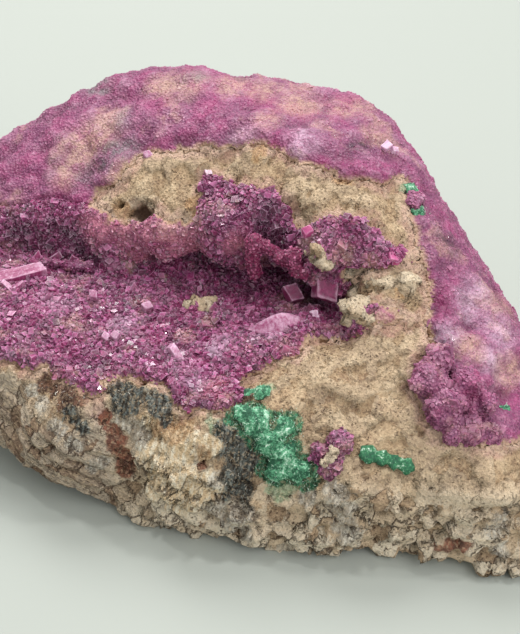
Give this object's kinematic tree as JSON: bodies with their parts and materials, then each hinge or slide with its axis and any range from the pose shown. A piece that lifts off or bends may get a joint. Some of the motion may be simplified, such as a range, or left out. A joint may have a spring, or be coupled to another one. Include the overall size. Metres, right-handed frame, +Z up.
{
  "type": "cobaltoan dolomite cluster",
  "caption": "Broken block of sandy dolomite with a pink crystal druse on a shelf under an overhanging bank, more pink crust over its back and right side, and small green malachite growths.",
  "frame": {"origin": "centre of the bounding box, on the surface that the block rests on", "axes": "+X along the length, to the right seen from the broken front; +Y from the front to the bank at the back; +Z up"},
  "size_m": [0.093, 0.0661, 0.0402],
  "materials": {
    "sandy_dolomite": "rough, grainy broken stone",
    "cobaltoan_dolomite_deep": "glassy faces of deep pink crystals",
    "cobaltoan_dolomite_pale": "satin faces of paler pink crystals",
    "malachite": "matt, fibrous green"
  },
  "bodies": {
    "root": {"host_stone": "sandy_dolomite", "pocket_druse": "cobaltoan_dolomite_deep", "islet_druse": "cobaltoan_dolomite_deep", "rim_druse": "cobaltoan_dolomite_pale", "malachite_patch": "malachite", "malachite_tuft": "malachite", "malachite_stick": "malachite", "malachite_right": "malachite", "malachite_ridge": "malachite"}
  },
  "joints": []
}
